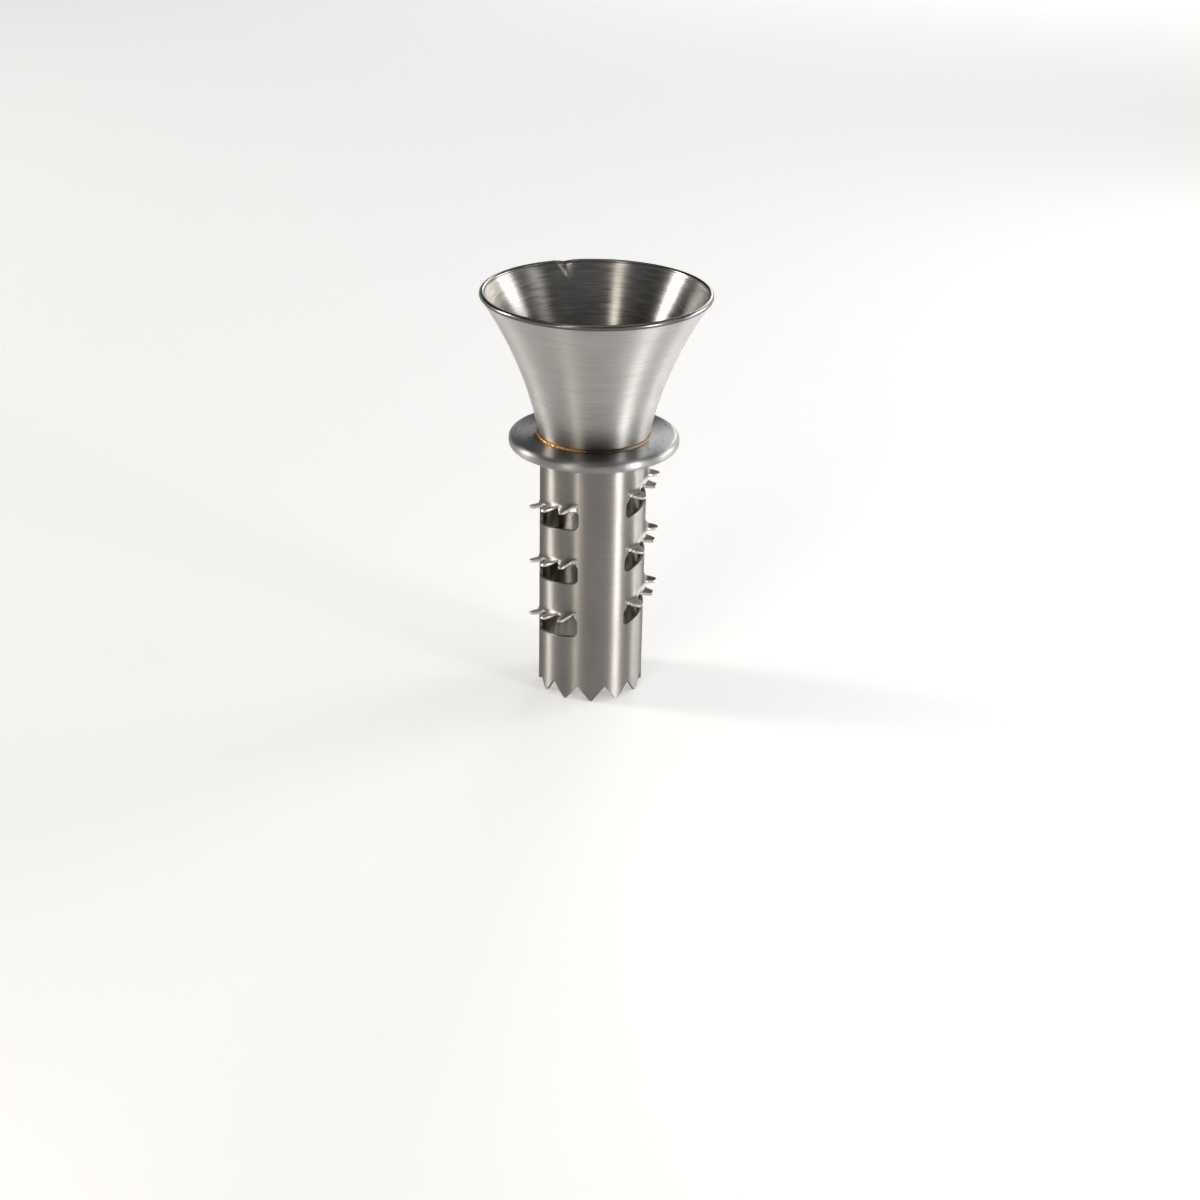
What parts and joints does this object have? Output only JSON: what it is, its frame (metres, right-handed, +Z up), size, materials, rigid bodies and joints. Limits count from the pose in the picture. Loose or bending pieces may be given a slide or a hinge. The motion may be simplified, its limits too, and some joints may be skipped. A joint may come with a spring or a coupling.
{
  "type": "citrus juice spout",
  "caption": "Stainless citrus spout: a flared pouring funnel with a pressed lip, a flat stop collar and a tube with helical rows of toothed windows that goes into the fruit.",
  "frame": {"origin": "on the axis, in the plane of the collar's underside, where the spout stops against the fruit", "axes": "+Z up along the axis towards the funnel's mouth, -Z along the tube towards its crown, +Y towards the pouring lip"},
  "size_m": [0.0422, 0.0429, 0.0784],
  "materials": {
    "tube_steel": "fine brushed round the tube, bright on the bent teeth",
    "collar_steel": "polished",
    "funnel_steel": "brushed round the axis, polished on the rim",
    "weld_tint": "satin, with a golden to brown heat tint"
  },
  "bodies": {
    "root": {"toothed_tube": "tube_steel", "stop_collar": "collar_steel", "funnel": "funnel_steel", "funnel_weld": "weld_tint"}
  },
  "joints": []
}
